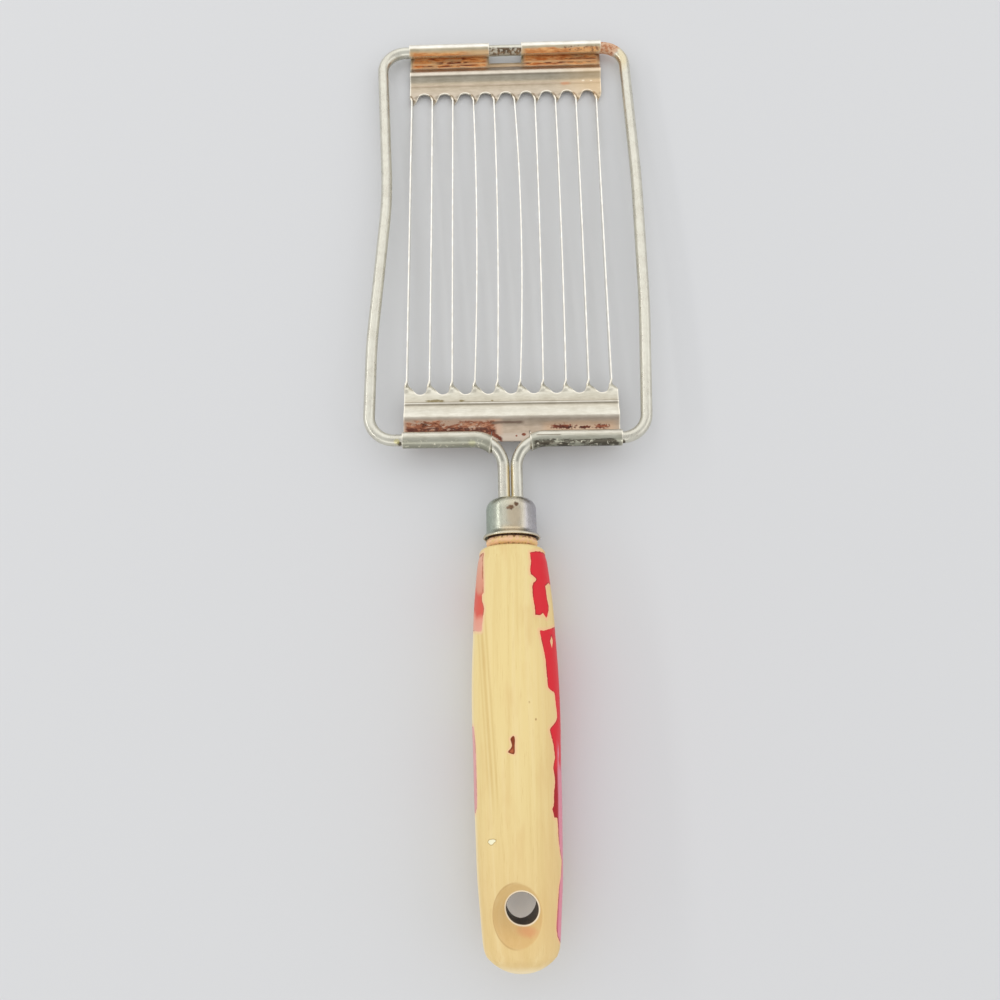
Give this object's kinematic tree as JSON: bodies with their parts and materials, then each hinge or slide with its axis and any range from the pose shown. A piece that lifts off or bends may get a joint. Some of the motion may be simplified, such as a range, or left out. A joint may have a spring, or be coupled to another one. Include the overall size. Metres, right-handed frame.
{
  "type": "tomato slicer",
  "caption": "Hand tomato slicer: a wooden handle with a steel ferrule holds a bent wire frame, and thin steel blades on edge run across it between two ribbed bars.",
  "frame": {"origin": "middle of the underside of the whole part's box, level with the lowest point of the handle", "axes": "+Y from the handle towards the far end of the frame, +Z out of the front, where the bars' rolled edges end, +X to the right"},
  "size_m": [0.0808, 0.2616, 0.017],
  "materials": {
    "wire_steel": "dulled bright plating with spots of rust",
    "sheet_steel": "dull stamped steel, rusty in its hollows",
    "blade_steel": "bright worn steel",
    "ferrule_steel": "dull plating with a brown smudge",
    "pale_wood": "pale close-grained wood with the last of a red paint"
  },
  "bodies": {
    "root": {"frame_wire": "wire_steel", "top_blade_bar": "sheet_steel", "bottom_blade_bar": "sheet_steel", "blade_01": "blade_steel", "blade_02": "blade_steel", "blade_03": "blade_steel", "blade_04": "blade_steel", "blade_05": "blade_steel", "blade_06": "blade_steel", "blade_07": "blade_steel", "blade_08": "blade_steel", "blade_09": "blade_steel", "blade_10": "blade_steel", "ferrule": "ferrule_steel", "handle": "pale_wood"}
  },
  "joints": []
}
